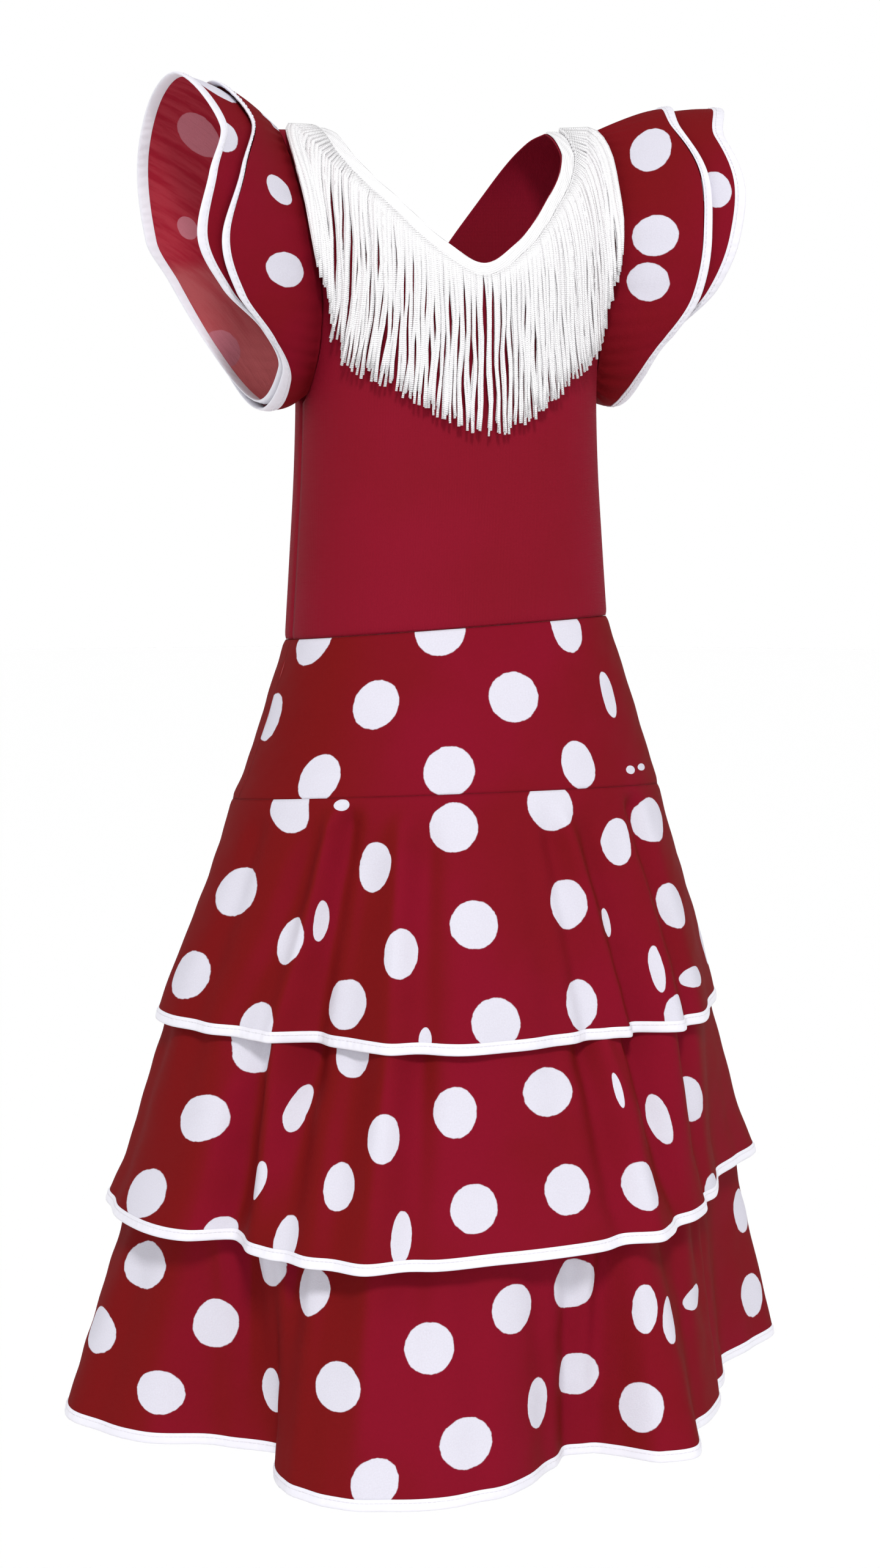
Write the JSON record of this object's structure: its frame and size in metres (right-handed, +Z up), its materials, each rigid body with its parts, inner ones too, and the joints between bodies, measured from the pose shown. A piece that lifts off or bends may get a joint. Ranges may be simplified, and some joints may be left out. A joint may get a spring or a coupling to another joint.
{
  "type": "flamenco dress",
  "caption": "Child's flamenco dress, hollow as worn: fitted bodice with fringed neckline, dotted hip yoke, tiered skirt with bound hems and double shoulder flounces.",
  "frame": {"origin": "midway between the two shoulder straps, level with their tops, on the upright axis of the skirt; the wearer's shoulders hold the dress there", "axes": "+Z up, front of the dress towards -Y, +X to the right as seen from the front"},
  "size_m": [0.5475, 0.504, 0.9303],
  "materials": {
    "stretch_red": "plain dark crimson stretch jersey, matt with a faint sheen",
    "dotted_red": "dark crimson cloth with large white polka dots, matt",
    "white_binding": "white folded bias binding, matt",
    "white_fringe": "white fringe cords on a narrow tape, slight sheen"
  },
  "bodies": {
    "root": {"bodice_front": "stretch_red", "bodice_back": "stretch_red", "yoke_front": "dotted_red", "yoke_back": "dotted_red", "tier_1": "dotted_red", "tier_1_binding": "white_binding", "tier_2": "dotted_red", "tier_2_binding": "white_binding", "tier_3": "dotted_red", "tier_3_binding": "white_binding", "sleeve_left_long": "dotted_red", "sleeve_left_long_binding": "white_binding", "sleeve_left_short": "dotted_red", "sleeve_left_short_binding": "white_binding", "sleeve_right_long": "dotted_red", "sleeve_right_long_binding": "white_binding", "sleeve_right_short": "dotted_red", "sleeve_right_short_binding": "white_binding", "neck_fringe": "white_fringe"}
  },
  "joints": []
}
